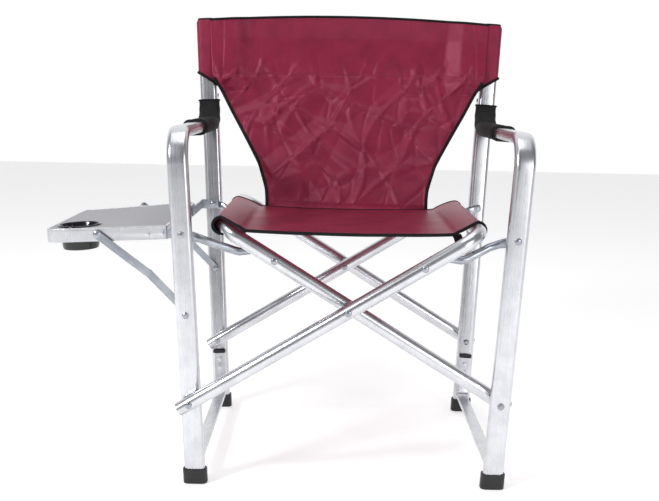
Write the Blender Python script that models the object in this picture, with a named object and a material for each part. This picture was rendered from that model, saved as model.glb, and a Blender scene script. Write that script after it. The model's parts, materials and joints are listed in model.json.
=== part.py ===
"""Folding camp chair with a fold-down side table, in metres, +Z up, front towards -Y."""

import math

import bmesh
import bpy
from mathutils import Matrix, Vector

# ---- driving dimensions ---------------------------------------------------
HINGE_X = 0.285          # half spacing of the side frames at the link pivots
HINGE_Z = 0.4408         # height of the link and table pivots
LEAN = math.radians(3.07)  # side frames lean outwards at the top
TUBE_W, TUBE_T = 0.036, 0.020
ARM_H = 0.1715           # arm centreline above the link pivots
BEND_R = 0.052
POST_Y = 0.4820          # back post at arm height
RECLINE = math.radians(5.0)
POST_TOP = 0.380         # top of the back post above the link pivots
REAR_FOOT_Y = 0.4314
REAR_SLOPE = 0.1139      # rear leg leans back by this much per metre of height
REAR_TOP = 0.668
CAP_H = 0.026
FOOT_Z = 0.1507          # height of the pivots at the feet of the cross tubes
FOOT_X = 0.2694
CROSS_Z = 0.3164         # height of the scissor crossing
CROSS_R = 0.0127         # cross tube radius
RAIL_D = 0.2605          # seat rail from the crossing, along the tube
LINK_D = 0.150           # link rivet from the crossing, along the tube
RAIL_R = 0.040           # bend radius where a cross tube turns into the seat rail
A_FRONT, A_REAR = -0.0235, 0.4205   # planes of the tube whose foot is on the left
B_FRONT, B_REAR = 0.0235, 0.4800    # planes of the tube whose foot is on the right
BRACE_FOOT = -0.1393     # brace pivot on the legs, below the table pivot
TRAY_IN, TRAY_OUT = -0.027, -0.238
TRAY_TOP, TRAY_LIP = 0.0135, 0.0235
TRAY_FRONT = 0.0166
TRAY_WALL = 0.0018
BRACKET = (0.0187, 0.0217)   # the table's front bracket lies just inside the skirt
GAP = 0.0003

CROSS_SLOPE = math.atan2(CROSS_Z - FOOT_Z, FOOT_X)

for item in list(bpy.data.objects):
    bpy.data.objects.remove(item, do_unlink=True)

chair = bpy.data.collections.new("folding_camp_chair")
cutters = bpy.data.collections.new("cutters")
for group in (chair, cutters):
    bpy.context.scene.collection.children.link(group)

LEFT = Matrix.Translation((-HINGE_X, 0, HINGE_Z)) @ Matrix.Rotation(-LEAN, 4, "Y")
RIGHT = Matrix.Scale(-1, 4, (1, 0, 0)) @ LEFT


# ---- materials ------------------------------------------------------------
def material(name, colour, roughness, metallic):
    made = bpy.data.materials.new(name)
    made.use_nodes = True
    shader = made.node_tree.nodes["Principled BSDF"]
    shader.inputs["Base Color"].default_value = (*colour, 1)
    shader.inputs["Roughness"].default_value = roughness
    shader.inputs["Metallic"].default_value = metallic
    made.diffuse_color = (*colour, 1)
    return made


ALUMINIUM = material("satin_aluminium", (0.72, 0.72, 0.74), 0.35, 1.0)
ZINC = material("zinc_plated_steel", (0.50, 0.53, 0.58), 0.4, 1.0)
BLACK = material("black_plastic", (0.02, 0.02, 0.02), 0.5, 0.0)
PAD = material("arm_foam", (0.03, 0.03, 0.032), 0.8, 0.0)
CLOTH = material("burgundy_nylon", (0.22, 0.03, 0.07), 0.6, 0.0)
WEBBING = material("black_webbing", (0.015, 0.015, 0.015), 0.9, 0.0)
TRAY_GREY = material("grey_table_top", (0.42, 0.42, 0.45), 0.6, 0.0)


# ---- helpers --------------------------------------------------------------
def add(name, mesh, finish, where=None, group=None):
    made = bpy.data.objects.new(name, mesh)
    (group or chair).objects.link(made)
    if where:
        if where.determinant() < 0:
            mesh.transform(Matrix.Scale(-1, 4, (1, 0, 0)))
            mesh.flip_normals()
            where = where @ Matrix.Scale(-1, 4, (1, 0, 0))
        made.matrix_world = where
    if finish:
        mesh.materials.clear()
        mesh.materials.append(finish)
    return made


def mesh_from(bm, name):
    mesh = bpy.data.meshes.new(name)
    bm.to_mesh(mesh)
    bm.free()
    return mesh


def block(low, high, round_by=0.0, segments=2):
    """A box between two corners, with its edges rounded."""
    bm = bmesh.new()
    bmesh.ops.create_cube(bm, size=1)
    low, high = Vector(low), Vector(high)
    for vert in bm.verts:
        vert.co = Vector(low[i] + (vert.co[i] + 0.5) * (high[i] - low[i]) for i in range(3))
    if round_by:
        bmesh.ops.bevel(bm, geom=list(bm.edges), offset=round_by, segments=segments,
                        profile=0.5, affect="EDGES", clamp_overlap=True)
    return mesh_from(bm, "block")


def bar(start, end, radius, sides=12, radius_end=None):
    """A round bar between two points."""
    start, end = Vector(start), Vector(end)
    bm = bmesh.new()
    bmesh.ops.create_cone(bm, cap_ends=True, segments=sides, radius1=radius,
                          radius2=radius if radius_end is None else radius_end,
                          depth=(end - start).length)
    turn = (end - start).to_track_quat("Z", "Y").to_matrix().to_4x4()
    bm.transform(Matrix.Translation((start + end) / 2) @ turn)
    return mesh_from(bm, "bar")


def slot_profile(width, depth, corner, steps=3):
    """A closed rounded-rectangle outline for a flat-sided oval tube."""
    points = []
    for i, (sx, sy) in enumerate(((1, 1), (-1, 1), (-1, -1), (1, -1))):
        for k in range(steps + 1):
            angle = math.pi / 2 * (i + k / steps)
            points.append((sx * (width / 2 - corner) + corner * math.cos(angle),
                           sy * (depth / 2 - corner) + corner * math.sin(angle)))
    return points


def sweep(points, outline, across):
    """Carry an outline along a planar path. Its first axis stays along the vector across."""
    points = [Vector(p) for p in points]
    bm = bmesh.new()
    rings = []
    for i, point in enumerate(points):
        before = points[max(i - 1, 0)]
        after = points[min(i + 1, len(points) - 1)]
        a = (point - before).normalized() if i else (after - point).normalized()
        b = (after - point).normalized() if i < len(points) - 1 else a
        along = (a + b).normalized()
        stretch = 1 / max(along.dot(a), 0.5)
        side = Vector(across).normalized()
        up = along.cross(side).normalized()
        rings.append([bm.verts.new(point + side * u + up * v * stretch) for u, v in outline])
    count = len(outline)
    for near, far in zip(rings, rings[1:]):
        for k in range(count):
            bm.faces.new((near[k], near[(k + 1) % count], far[(k + 1) % count], far[k]))
    bm.faces.new(list(reversed(rings[0])))
    bm.faces.new(rings[-1])
    bmesh.ops.recalc_face_normals(bm, faces=bm.faces)
    return mesh_from(bm, "sweep")


def rounded_path(corners, radii, steps=8):
    """Straight runs joined by arcs of the given radii at the inner corners."""
    corners = [Vector(c) for c in corners]
    path = [corners[0]]
    for i in range(1, len(corners) - 1):
        here = corners[i]
        a = (corners[i - 1] - here).normalized()
        b = (corners[i + 1] - here).normalized()
        half = a.angle(b) / 2
        radius = radii[i - 1]
        reach = radius / math.tan(half)
        centre = here + (a + b).normalized() * (radius / math.sin(half))
        start, end = here + a * reach - centre, here + b * reach - centre
        turn = start.angle(end)
        for k in range(steps + 1):
            t = k / steps
            path.append(centre + (start * math.sin((1 - t) * turn) + end * math.sin(t * turn))
                        / math.sin(turn))
    path.append(corners[-1])
    return path


def round_tube(corners, radii, radius, sides=12, steps=8):
    """A bent round tube, as a curve with a round bevel, turned into a closed mesh."""
    data = bpy.data.curves.new("tube", "CURVE")
    data.dimensions = "3D"
    spline = data.splines.new("POLY")
    path = rounded_path(corners, radii, steps)
    spline.points.add(len(path) - 1)
    for point, at in zip(spline.points, path):
        point.co = (*at, 1)
    data.bevel_depth = radius
    data.bevel_resolution = sides // 2 - 2
    data.use_fill_caps = True
    curve = bpy.data.objects.new("tube_curve", data)
    bpy.context.scene.collection.objects.link(curve)
    bpy.context.view_layer.update()
    mesh = bpy.data.meshes.new_from_object(
        curve.evaluated_get(bpy.context.evaluated_depsgraph_get()))
    bpy.data.objects.remove(curve, do_unlink=True)
    bm = bmesh.new()
    bm.from_mesh(mesh)
    bmesh.ops.remove_doubles(bm, verts=bm.verts, dist=0.00001)
    bmesh.ops.recalc_face_normals(bm, faces=bm.faces)
    bm.to_mesh(mesh)
    bm.free()
    return mesh


def turned(profile, centre, axis="Y", sides=12):
    """A turned piece. The profile lists (radius, height along the axis) from top to bottom."""
    bm = bmesh.new()
    verts = [bm.verts.new((r, 0, h)) for r, h in profile]
    for a, b in zip(verts, verts[1:]):
        bm.edges.new((a, b))
    bmesh.ops.spin(bm, geom=list(bm.verts) + list(bm.edges), cent=(0, 0, 0), axis=(0, 0, 1),
                   dvec=(0, 0, 0), angle=2 * math.pi, steps=sides, use_merge=True)
    bmesh.ops.remove_doubles(bm, verts=bm.verts, dist=0.00002)
    bmesh.ops.recalc_face_normals(bm, faces=bm.faces)
    mesh = mesh_from(bm, "turned")
    turn = {"Y": Matrix.Rotation(-math.pi / 2, 4, "X"), "Z": Matrix.Identity(4)}[axis]
    mesh.transform(Matrix.Translation(centre) @ turn)
    return mesh


def rivet(x, z, front, rear, shank=0.0030, head=0.0062, tall=0.0022, steps=()):
    """A rivet along Y whose heads bear on the planes front and rear; steps are shoulders."""
    top = [(0, rear + tall), (head * 0.6, rear + tall * 0.8), (head, rear)]
    middle = [(shank, rear)]
    for y0, y1, r in sorted(steps, key=lambda s: -s[0]):
        middle += [(shank, y1), (r, y1), (r, y0), (shank, y0)]
    bottom = [(shank, front), (head, front), (head * 0.6, front - tall * 0.8), (0, front - tall)]
    return turned(top + middle + bottom, (x, 0, z), sides=10)


def merged(*meshes):
    """Several loose shells in one mesh, for use as a cutter."""
    bm = bmesh.new()
    for mesh in meshes:
        bm.from_mesh(mesh)
    return mesh_from(bm, "merged")


def boolean(target, tool_mesh, operation, where=None, label="cut"):
    tool = add(f"{target.name}_{label}", tool_mesh, None, where, cutters)
    tool.hide_render = True
    tool.display_type = "WIRE"
    change = target.modifiers.new(label, "BOOLEAN")
    change.operation = operation
    change.solver = "EXACT"
    change.object = tool
    return target


def smooth(thing, angle=35):
    mesh = thing.data
    mesh.shade_smooth()
    mesh.set_sharp_from_angle(angle=math.radians(angle))
    return thing


def hole(x, z, y0, y1, radius=0.0033):
    return bar((x, y0, z), (x, y1, z), radius, sides=12)


def frame_point(side, x, y, z):
    """A side frame's own point in the world; side is -1 on the left and +1 on the right."""
    return (LEFT if side < 0 else RIGHT) @ Vector((x, y, z))


def rear_leg_y(z):
    return REAR_FOOT_Y + REAR_SLOPE * z


OVAL = slot_profile(TUBE_W, TUBE_T, 0.0075)
OVAL_BORE = slot_profile(TUBE_W + 2 * GAP, TUBE_T + 2 * GAP, 0.0075)
COS = math.cos(LEAN)
FLOOR = -HINGE_Z / COS                 # the floor in a frame's own height, at its middle
FOOT_LOCAL = (FOOT_Z - HINGE_Z) / COS  # the cross-tube foot pivots
REAR_FACE = TUBE_T / 2 / math.cos(math.atan(REAR_SLOPE)) + GAP


# ---- side frames ----------------------------------------------------------
def side_frame(side):
    tag = "left" if side < 0 else "right"
    where = LEFT if side < 0 else RIGHT
    foot = FLOOR + 0.004
    post_end = (0, POST_Y + (POST_TOP - ARM_H) * math.tan(RECLINE), POST_TOP)
    corners = [(0, 0, foot), (0, 0, ARM_H), (0, POST_Y, ARM_H), post_end]
    path = rounded_path(corners, (BEND_R, BEND_R * 0.8))
    tube = add(f"{tag}_side_tube", sweep(path, OVAL, (1, 0, 0)), ALUMINIUM, where)
    holes = [hole(0, 0, -0.02, 0.02), hole(0, FOOT_LOCAL, -0.02, 0.02)]
    if side < 0:
        holes.append(hole(0, BRACE_FOOT, -0.02, 0.02))
    boolean(tube, merged(*holes), "DIFFERENCE", where, "bores")

    rear_low, rear_high = foot, REAR_TOP - HINGE_Z
    rear_path = [(0, rear_leg_y(z + HINGE_Z), z) for z in (rear_low, rear_high)]
    leg = add(f"{tag}_rear_leg", sweep(rear_path, OVAL, (1, 0, 0)), ALUMINIUM, where)
    holes = [hole(0, 0, 0.44, 0.52), hole(0, FOOT_LOCAL, 0.42, 0.48)]
    if side < 0:
        holes.append(hole(0, BRACE_FOOT, 0.42, 0.50))
    boolean(leg, merged(*holes), "DIFFERENCE", where, "bores")

    for place, y, slope in (("front", 0.0, 0.0), ("rear", REAR_FOOT_Y, REAR_SLOPE)):
        floor_x = frame_point(side, 0, 0, FLOOR).x
        top_x = frame_point(side, 0, 0, FLOOR + CAP_H).x
        cap_path = [(floor_x, y, 0), (top_x, y + slope * CAP_H, CAP_H)]
        shell = slot_profile(TUBE_W + 0.006, TUBE_T + 0.006, 0.009)
        cap = bpy.data.meshes.new("cap")
        bm = bmesh.new()
        rings = [[bm.verts.new((p[0] + u, p[1] + v, p[2])) for u, v in shell] for p in cap_path]
        for k in range(len(shell)):
            n = (k + 1) % len(shell)
            bm.faces.new((rings[0][k], rings[0][n], rings[1][n], rings[1][k]))
        bm.faces.new(list(reversed(rings[0])))
        bm.faces.new(rings[1])
        bm.to_mesh(cap)
        bm.free()
        capped = add(f"{tag}_{place}_foot_cap", cap, BLACK)
        socket = sweep([(0, y + slope * (z + HINGE_Z), z) for z in (foot - GAP, foot + 0.05)],
                       OVAL_BORE, (1, 0, 0))
        boolean(capped, socket, "DIFFERENCE", where, "socket")

    plug_shell = slot_profile(TUBE_W + 0.003, TUBE_T + 0.003, 0.008)
    lean_back = Vector((0, math.sin(RECLINE), math.cos(RECLINE)))
    top = Vector(post_end) + lean_back * GAP
    add(f"{tag}_post_cap", sweep([top, top + lean_back * 0.006], plug_shell, (1, 0, 0)),
        BLACK, where)
    up = Vector((0, REAR_SLOPE, 1)).normalized()
    top = Vector(rear_path[-1]) + up * GAP
    add(f"{tag}_rear_leg_cap", sweep([top, top + up * 0.007], OVAL, (1, 0, 0)), BLACK, where)

    return tube, leg


def foot_rail(side):
    """Flat bar bent into a U: up the inside face of the rear leg, along the floor, and up."""
    tag = "left" if side < 0 else "right"
    where = LEFT if side < 0 else RIGHT
    thick, width = 0.0060, 0.025
    low = FLOOR + 0.0325
    front_y = TUBE_T / 2 + GAP + thick / 2
    rear_y = [rear_leg_y(z + HINGE_Z) - REAR_FACE - thick / 2 - 0.0001 for z in (low, FLOOR + 0.118)]
    corners = [(0, front_y, FLOOR + 0.125), (0, front_y, low), (0, rear_y[0], low),
               (0, rear_y[1], FLOOR + 0.118)]
    path = rounded_path(corners, (0.016, 0.016), steps=5)
    rail = add(f"{tag}_foot_rail", sweep(path, slot_profile(width, thick, 0.002, 1), (1, 0, 0)),
               ALUMINIUM, where)
    for n, z in enumerate((FLOOR + 0.0862, FLOOR + 0.1042)):
        y = rear_leg_y(z + HINGE_Z) - REAR_FACE - thick
        boolean(rail, bar((0, y - 0.0018, z), (0, y + 0.003, z), 0.0042, 10, 0.0058),
                "UNION", where, f"rear_rivet_{n}")
        y = front_y + thick / 2
        boolean(rail, bar((0, y - 0.003, z), (0, y + 0.0018, z), 0.0058, 10, 0.0042),
                "UNION", where, f"front_rivet_{n}")
    top = Vector(corners[-1]) + Vector((0, REAR_SLOPE, 1)) * (GAP + 0.0003)
    low_plug = block((-width / 2 - 0.001, -0.0040, 0), (width / 2 + 0.001, 0.0030, 0.008), 0.0015, 1)
    low_plug.transform(Matrix.Translation(top))
    add(f"{tag}_foot_rail_plug", low_plug, BLACK, where)


def arm_sleeve(side):
    """Foam sleeve with a slit underneath, over the rear of the arm and up round the bend."""
    tag = "left" if side < 0 else "right"
    where = LEFT if side < 0 else RIGHT
    rise = 0.050
    corners = [(0, 0.230, ARM_H), (0, POST_Y, ARM_H),
               (0, POST_Y + rise * math.tan(RECLINE), ARM_H + rise)]
    path = rounded_path(corners, (BEND_R * 0.8,))
    outer = slot_profile(TUBE_W + 0.009, TUBE_T + 0.009, 0.011)
    sleeve = add(f"{tag}_arm_sleeve", sweep(path, outer, (1, 0, 0)), PAD, where)
    longer = [Vector(path[0]) - Vector((0, 0.01, 0)), *path[1:-1],
              Vector(path[-1]) + Vector((0, math.sin(RECLINE), math.cos(RECLINE))) * 0.01]
    boolean(sleeve, sweep(longer, OVAL_BORE, (1, 0, 0)), "DIFFERENCE", where, "bore")
    # the rear leg's top passes behind the sleeve, so the sleeve is open there
    leg_path = [(0, rear_leg_y(z + HINGE_Z), z) for z in (ARM_H - 0.15, ARM_H + 0.15)]
    boolean(sleeve, sweep(leg_path, slot_profile(TUBE_W + 0.02, TUBE_T + 0.0014, 0.005), (1, 0, 0)),
            "DIFFERENCE", where, "leg_room")


for side in (-1, 1):
    side_frame(side)
    foot_rail(side)
    arm_sleeve(side)


# ---- cross tubes: each is one tube bent into a U -------------------------
def cross_mesh(side, front, rear, radius):
    """side is where the foot is; the seat rail is at the top of the other side."""
    c, s = math.cos(CROSS_SLOPE), math.sin(CROSS_SLOPE)
    past = 0.022
    foot = (side * (FOOT_X + past * c), FOOT_Z - past * s)
    rail = (-side * RAIL_D * c, CROSS_Z + RAIL_D * s)
    corners = [(foot[0], front, foot[1]), (rail[0], front, rail[1]),
               (rail[0], rear, rail[1]), (foot[0], rear, foot[1])]
    return round_tube(corners, (RAIL_R, RAIL_R), radius, 12, 7)


def cross_tube(tag, side, front, rear):
    c, s = math.cos(CROSS_SLOPE), math.sin(CROSS_SLOPE)
    tube = add(tag, cross_mesh(side, front, rear, CROSS_R), ALUMINIUM)
    link = (-side * LINK_D * c, CROSS_Z + LINK_D * s)
    places = [(side * FOOT_X, FOOT_Z), (0, CROSS_Z), link]
    holes = [hole(x, z, y - 0.02, y + 0.02) for y in (front, rear) for x, z in places]
    boolean(tube, merged(*holes), "DIFFERENCE", None, "bores")
    return link


link_a = cross_tube("cross_tube_left_foot", -1, A_FRONT, A_REAR)
link_b = cross_tube("cross_tube_right_foot", 1, B_FRONT, B_REAR)

half = CROSS_R + GAP
for place, ya, yb in (("front", A_FRONT, B_FRONT), ("rear", A_REAR, B_REAR)):
    shoulder = (ya + half, yb - half, 0.0095)
    add(f"crossing_rivet_{place}", rivet(0, CROSS_Z, ya - half, yb + half, steps=(shoulder,)), ZINC)

for tag, link, front, rear in (("right", link_a, A_FRONT, A_REAR), ("left", link_b, B_FRONT, B_REAR)):
    for place, y in (("front", front), ("rear", rear)):
        sign = -1 if place == "front" else 1
        head, end = y + sign * half, y - sign * (CROSS_R - 0.001)
        low, high = sorted((head, end))
        if sign < 0:
            shape = [(0, high), (0.0030, high), (0.0030, low), (0.0060, low),
                     (0.0036, low - 0.0018), (0, low - 0.0022)]
        else:
            shape = [(0, high + 0.0022), (0.0036, high + 0.0018), (0.0060, high),
                     (0.0030, high), (0.0030, low), (0, low)]
        add(f"{tag}_{place}_link_rivet", turned(shape, (link[0], 0, link[1]), sides=10), ZINC)

# foot pivots, with a spacer where the tube stands clear of a leg
leg_front, leg_rear = rear_leg_y(FOOT_Z) - REAR_FACE, rear_leg_y(FOOT_Z) + REAR_FACE
fronts = {
    ("left", "front"): (A_FRONT - half, TUBE_T / 2 + GAP, (A_FRONT + half, -TUBE_T / 2 - GAP)),
    ("right", "front"): (-TUBE_T / 2 - GAP, B_FRONT + half, (TUBE_T / 2 + GAP, B_FRONT - half)),
    ("left", "rear"): (A_REAR - half, leg_rear, (A_REAR + half, leg_front - 0.0008)),
    ("right", "rear"): (leg_front - GAP, B_REAR + half, (leg_rear + 0.0008, B_REAR - half)),
}
for (tag, place), (front, rear, room) in fronts.items():
    x = -FOOT_X if tag == "left" else FOOT_X
    steps = [(room[0], room[1], 0.0065)] if room[1] - room[0] > 0.002 else []
    add(f"{tag}_{place}_foot_pivot", rivet(x, FOOT_Z, front - 0.0004, rear + 0.0008, steps=steps), ZINC)


# ---- links between the side frames and the cross tubes -------------------
def loft(stations):
    """A bar whose oval section changes: stations give centre, half height and half thickness."""
    bm = bmesh.new()
    rings = []
    for i, (centre, high, thick) in enumerate(stations):
        a = Vector(stations[max(i - 1, 0)][0])
        b = Vector(stations[min(i + 1, len(stations) - 1)][0])
        along = Vector((b.x - a.x, 0, b.z - a.z)).normalized()
        up = Vector((-along.z, 0, along.x))
        ring = []
        for k in range(12):
            angle = 2 * math.pi * k / 12
            ring.append(bm.verts.new(Vector(centre) + up * high * math.cos(angle)
                                     + Vector((0, 1, 0)) * thick * math.sin(angle)))
        rings.append(ring)
    for near, far in zip(rings, rings[1:]):
        for k in range(12):
            n = (k + 1) % 12
            bm.faces.new((near[k], near[n], far[n], far[k]))
    bm.faces.new(list(reversed(rings[0])))
    bm.faces.new(rings[-1])
    bmesh.ops.recalc_face_normals(bm, faces=bm.faces)
    return mesh_from(bm, "loft")


def frame_link(side, place, leg_y, cross_y, clear):
    """leg_y and cross_y are the middles of the flattened ends; clear is +1 behind the tube."""
    tag = "left" if side < 0 else "right"
    s = -side
    px, pz = side * HINGE_X, HINGE_Z
    c, sn = math.cos(CROSS_SLOPE), math.sin(CROSS_SLOPE)
    qx, qz = side * LINK_D * c, CROSS_Z + LINK_D * sn
    mid_y = cross_y + clear * 0.0056
    near_y = leg_y + (0.0062 if place == "front" else -0.0062)
    stations = [
        ((px - s * 0.0075, leg_y, pz + 0.0025), 0.0050, 0.0019),
        ((px - s * 0.0040, leg_y, pz + 0.0013), 0.0074, 0.0020),
        ((px + s * 0.0200, leg_y, pz - 0.0065), 0.0085, 0.0020),
        ((px + s * 0.0290, near_y, pz - 0.0097), 0.0073, 0.0073),
        ((px + s * 0.0440, near_y, pz - 0.0152), 0.0073, 0.0073),
        ((px + s * 0.0840, mid_y, pz - 0.0325), 0.0073, 0.0073),
        ((px + s * 0.0940, mid_y, pz - 0.0350), 0.0073, 0.0073),
        ((px + s * 0.1060, mid_y, pz - 0.0333), 0.0073, 0.0073),
        ((px + s * 0.1180, mid_y, pz - 0.0318), 0.0073, 0.0073),
        ((px + s * 0.1350, mid_y, pz - 0.0345), 0.0073, 0.0073),
        ((qx - s * 0.0120, cross_y, qz + 0.0055), 0.0085, 0.0019),
        ((qx + s * 0.0040, cross_y, qz - 0.0012), 0.0074, 0.0019),
        ((qx + s * 0.0072, cross_y, qz - 0.0026), 0.0045, 0.0018),
    ]
    link = add(f"{tag}_{place}_link", loft(stations), ZINC)
    boolean(link, hole(px, pz, leg_y - 0.01, leg_y + 0.01), "DIFFERENCE", None, "bore")


tab = 0.0020
frame_link(-1, "front", 0.0126, B_FRONT + CROSS_R + tab + 0.0004, 1)
frame_link(1, "front", 0.0126, A_FRONT + CROSS_R + tab + 0.0004, 1)
leg_front = rear_leg_y(HINGE_Z) - REAR_FACE
frame_link(-1, "rear", leg_front - tab - 0.0010, B_REAR - CROSS_R - tab - 0.0004, -1)
frame_link(1, "rear", leg_front - tab - 0.0010, A_REAR - CROSS_R - tab - 0.0004, -1)

leg_back = rear_leg_y(HINGE_Z) + REAR_FACE
# on the left the table's bracket shares the pivot, behind the link and a short spacer
add("left_front_link_pivot", rivet(-HINGE_X, HINGE_Z, -TUBE_T / 2 - GAP, BRACKET[1] + GAP,
                                   steps=((0.0149, BRACKET[0] - GAP, 0.0055),)), ZINC)
add("right_front_link_pivot", rivet(HINGE_X, HINGE_Z, -TUBE_T / 2 - GAP, 0.0149), ZINC)
add("left_rear_link_pivot", rivet(-HINGE_X, HINGE_Z, 0.4592, leg_back + 0.0006), ZINC)
add("right_rear_link_pivot", rivet(HINGE_X, HINGE_Z, leg_front - 0.0054, leg_back + 0.0006), ZINC)


# ---- side table -----------------------------------------------------------
TRAY_REAR_IN, TRAY_REAR_OUT = 0.385, 0.300
CUP = (-0.190, 0.0700)
CUP_R = 0.0335


def tray_outline(inset):
    """The table's outline, seen from above, with rounded corners, moved in by inset."""
    corners = [(TRAY_IN - inset, TRAY_FRONT + inset), (TRAY_IN - inset, TRAY_REAR_IN - inset * 1.2),
               (TRAY_OUT + inset, TRAY_REAR_OUT - inset * 0.8), (TRAY_OUT + inset, TRAY_FRONT + inset)]
    radii = (0.004, 0.012, 0.022, 0.020)
    outline = []
    for i, corner in enumerate(corners):
        here = Vector((*corner, 0))
        a = (Vector((*corners[i - 1], 0)) - here).normalized()
        b = (Vector((*corners[(i + 1) % 4], 0)) - here).normalized()
        angle = a.angle(b) / 2
        radius = max(radii[i] - inset, 0.001)
        centre = here + (a + b).normalized() * radius / math.sin(angle)
        reach = radius / math.tan(angle)
        start, end = here + a * reach - centre, here + b * reach - centre
        turn = start.angle(end)
        for k in range(5):
            t = k / 4
            outline.append(centre + (start * math.sin((1 - t) * turn) + end * math.sin(t * turn))
                           / math.sin(turn))
    return outline


def prism(outline, low, high):
    bm = bmesh.new()
    rings = [[bm.verts.new((p.x, p.y, z)) for p in outline] for z in (low, high)]
    count = len(outline)
    for k in range(count):
        n = (k + 1) % count
        bm.faces.new((rings[0][k], rings[0][n], rings[1][n], rings[1][k]))
    bm.faces.new(list(reversed(rings[0])))
    bm.faces.new(rings[1])
    bmesh.ops.recalc_face_normals(bm, faces=bm.faces)
    return mesh_from(bm, "prism")


PLATE_T = 0.0035
tray = add("table_tray", prism(tray_outline(0), TRAY_TOP - PLATE_T, TRAY_TOP), TRAY_GREY, LEFT)
skirt = add("table_skirt", prism(tray_outline(0), TRAY_TOP - TRAY_LIP, TRAY_TOP - PLATE_T - GAP),
            ALUMINIUM, LEFT)
boolean(skirt, prism(tray_outline(TRAY_WALL), TRAY_TOP - TRAY_LIP - 0.01, TRAY_TOP), "DIFFERENCE",
        LEFT, "hollow")
boolean(skirt, block((TRAY_IN - 0.005, BRACKET[0] - GAP, -0.02), (TRAY_IN + 0.005, BRACKET[1] + GAP, 0.0093)),
        "DIFFERENCE", LEFT, "bracket_notch")
boolean(tray, prism(tray_outline(0.0040), TRAY_TOP - 0.0012, TRAY_TOP + 0.01), "DIFFERENCE",
        LEFT, "recess")
boolean(tray, bar((*CUP, TRAY_TOP - 0.02), (*CUP, TRAY_TOP + 0.02), CUP_R + GAP, 24),
        "DIFFERENCE", LEFT, "cup_hole")

ROD_X, ROD_Z = -0.147, 0.0028
ROD_R = 0.0028
rod_hole = bar((ROD_X, 0, ROD_Z), (ROD_X, 0.45, ROD_Z), ROD_R + GAP, 12)
boolean(skirt, rod_hole, "DIFFERENCE", LEFT, "rod_bores")

cup_top = TRAY_TOP - 0.0012 + GAP
cup = [(0, cup_top - 0.0385), (CUP_R - 0.0036, cup_top - 0.0385), (CUP_R - 0.0022, cup_top - 0.002),
       (CUP_R - 0.0005, cup_top + 0.0020), (CUP_R + 0.0040, cup_top + 0.0020),
       (CUP_R + 0.0050, cup_top), (CUP_R - 0.0003, cup_top), (CUP_R - 0.0022, cup_top - 0.040),
       (CUP_R - 0.0050, cup_top - 0.0415), (0, cup_top - 0.0415)]
add("cup_holder", turned(cup, (*CUP, 0), "Z", 24), BLACK, LEFT)

BRACKET_H = 0.0090       # half height of the hinge brackets
BRACKET_PAST = 0.0110    # bracket beyond the hinge pin
plate = block((-0.068, BRACKET[0], -BRACKET_H), (BRACKET_PAST, BRACKET[1], BRACKET_H), 0.0010, 1)
bracket = add("table_front_bracket", plate, ZINC, LEFT)
boolean(bracket, hole(0, 0, 0, 0.03), "DIFFERENCE", LEFT, "bore")
# low rivet heads on the skirt, because the braces pass close in front of them
for n, x in enumerate((-0.0605, -0.0355)):
    head = bar((x, TRAY_FRONT - 0.0006, 0), (x, TRAY_FRONT + 0.0009, 0), 0.0036, 10, 0.0046)
    boolean(skirt, head, "UNION", LEFT, f"rivet_{n}")

rear_plate = (0.4600, 0.4652)
rear_h = BRACKET_H + 0.0010
plate = block((-0.0255, rear_plate[0], -rear_h), (BRACKET_PAST, rear_plate[1], rear_h), 0.0010, 1)
bracket = add("table_rear_bracket", plate, ZINC, LEFT)
boolean(bracket, block((-0.0267, 0.320, -0.0090), (-0.0237, rear_plate[1] - 0.001, 0.0090), 0.0008, 1),
        "UNION", LEFT, "arm")
boolean(bracket, hole(0, 0, 0.44, 0.48), "DIFFERENCE", LEFT, "bore")
for n, z in enumerate((-0.0045, 0.0045)):
    boolean(bracket, bar((-0.0250, 0.352, z), (-0.0220, 0.352, z), 0.0035, 8), "UNION", LEFT,
            f"rivet_{n}")

# y planes of the flat brace links, front pair and rear pair, and their knee
UPPER, LOWER = (0.0106, 0.0131), (0.0134, 0.0159)
REAR_UPPER, REAR_LOWER = (0.4448, 0.4473), (0.4476, 0.4501)
KNEE = (-0.0640, -0.0665)
LINK_HALF_W = 0.0068
KNEE_R = 0.0045


def strip(start, end, y0, y1):
    """A flat link with round ends between two pivots."""
    start, end = Vector((start[0], 0, start[1])), Vector((end[0], 0, end[1]))
    along = (end - start).normalized()
    up = Vector((-along.z, 0, along.x))
    outline = []
    for centre, sign in ((end, 1), (start, -1)):
        for k in range(7):
            angle = -math.pi / 2 + math.pi * k / 6
            outline.append(centre + sign * (along * math.cos(angle) + up * math.sin(angle)) * LINK_HALF_W)
    bm = bmesh.new()
    rings = [[bm.verts.new(p + Vector((0, y, 0))) for p in outline] for y in (y0, y1)]
    count = len(outline)
    for k in range(count):
        n = (k + 1) % count
        bm.faces.new((rings[0][k], rings[0][n], rings[1][n], rings[1][k]))
    bm.faces.new(list(reversed(rings[0])))
    bm.faces.new(rings[1])
    bmesh.ops.recalc_face_normals(bm, faces=bm.faces)
    return mesh_from(bm, "strip")


for place, upper, lower in (("front", UPPER, LOWER), ("rear", REAR_UPPER, REAR_LOWER)):
    link = add(f"{place}_upper_brace", strip((ROD_X, ROD_Z), KNEE, *upper), ZINC, LEFT)
    boolean(link, hole(ROD_X, ROD_Z, upper[0] - 0.01, upper[1] + 0.01, ROD_R + GAP), "DIFFERENCE",
            LEFT, "bore")
    link = add(f"{place}_lower_brace", strip(KNEE, (0, BRACE_FOOT), *lower), ZINC, LEFT)
    boolean(link, hole(0, BRACE_FOOT, lower[0] - 0.01, lower[1] + 0.01), "DIFFERENCE", LEFT, "bore")
    # the knee rivet's head is nearly flush, because it passes behind the leg
    head = bar((KNEE[0], upper[0] - GAP, KNEE[1]), (KNEE[0], upper[0] + 0.0010, KNEE[1]), KNEE_R, 10)
    boolean(bpy.data.objects[f"{place}_upper_brace"], head, "UNION", LEFT, "knee_head")

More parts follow.
